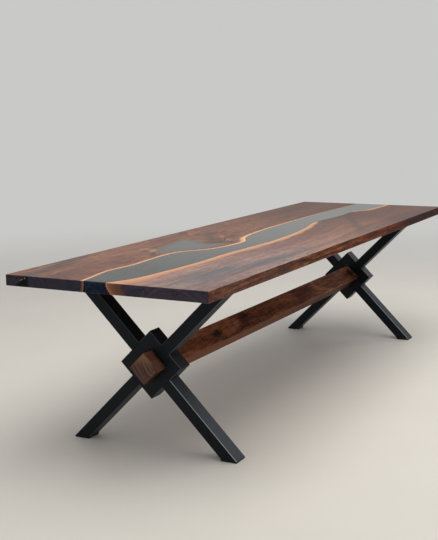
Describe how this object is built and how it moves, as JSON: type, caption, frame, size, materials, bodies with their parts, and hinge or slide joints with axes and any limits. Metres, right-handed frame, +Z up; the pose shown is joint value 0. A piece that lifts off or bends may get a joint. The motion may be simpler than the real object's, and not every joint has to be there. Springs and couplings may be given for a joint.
{
  "type": "dining table",
  "caption": "Long dining table: walnut slabs with a black resin river between their natural edges, on black steel X trestles tied by a square walnut beam set on its corner.",
  "frame": {"origin": "on the floor under the middle of the top", "axes": "+X along the top to its right end, +Y to its back, +Z up"},
  "size_m": [3.05, 0.91, 0.764],
  "materials": {
    "slab_walnut": "satin oiled walnut",
    "beam_walnut": "satin oiled walnut",
    "black_resin": "cast resin, satin",
    "black_steel": "black powder coat, satin",
    "zinc_steel": "zinc plated",
    "insert_brass": "plain brass",
    "foot_rubber": "matt"
  },
  "bodies": {
    "root": {"back_slab": "slab_walnut", "crack_fill": "black_resin", "front_slab": "slab_walnut", "left_beam_screws": "zinc_steel", "left_channel": "black_steel", "left_channel_bolts": "zinc_steel", "left_channel_inserts": "insert_brass", "left_channel_washers": "zinc_steel", "left_foot_pad_back": "foot_rubber", "left_foot_pad_front": "foot_rubber", "left_foot_plate_back": "black_steel", "left_foot_plate_front": "black_steel", "left_hub_lower_back": "black_steel", "left_hub_lower_front": "black_steel", "left_hub_upper_back": "black_steel", "left_hub_upper_front": "black_steel", "left_leg_lower_back": "black_steel", "left_leg_lower_front": "black_steel", "left_leg_upper_back": "black_steel", "left_leg_upper_front": "black_steel", "left_plate_bolts": "zinc_steel", "left_plate_inserts": "insert_brass", "left_plate_washers": "zinc_steel", "left_top_plate": "black_steel", "pool_fill": "black_resin", "right_beam_screws": "zinc_steel", "right_channel": "black_steel", "right_channel_bolts": "zinc_steel", "right_channel_inserts": "insert_brass", "right_channel_washers": "zinc_steel", "right_foot_pad_back": "foot_rubber", "right_foot_pad_front": "foot_rubber", "right_foot_plate_back": "black_steel", "right_foot_plate_front": "black_steel", "right_hub_lower_back": "black_steel", "right_hub_lower_front": "black_steel", "right_hub_upper_back": "black_steel", "right_hub_upper_front": "black_steel", "right_leg_lower_back": "black_steel", "right_leg_lower_front": "black_steel", "right_leg_upper_back": "black_steel", "right_leg_upper_front": "black_steel", "right_plate_bolts": "zinc_steel", "right_plate_inserts": "insert_brass", "right_plate_washers": "zinc_steel", "right_top_plate": "black_steel", "river_resin": "black_resin", "stretcher_beam": "beam_walnut"}
  },
  "joints": []
}
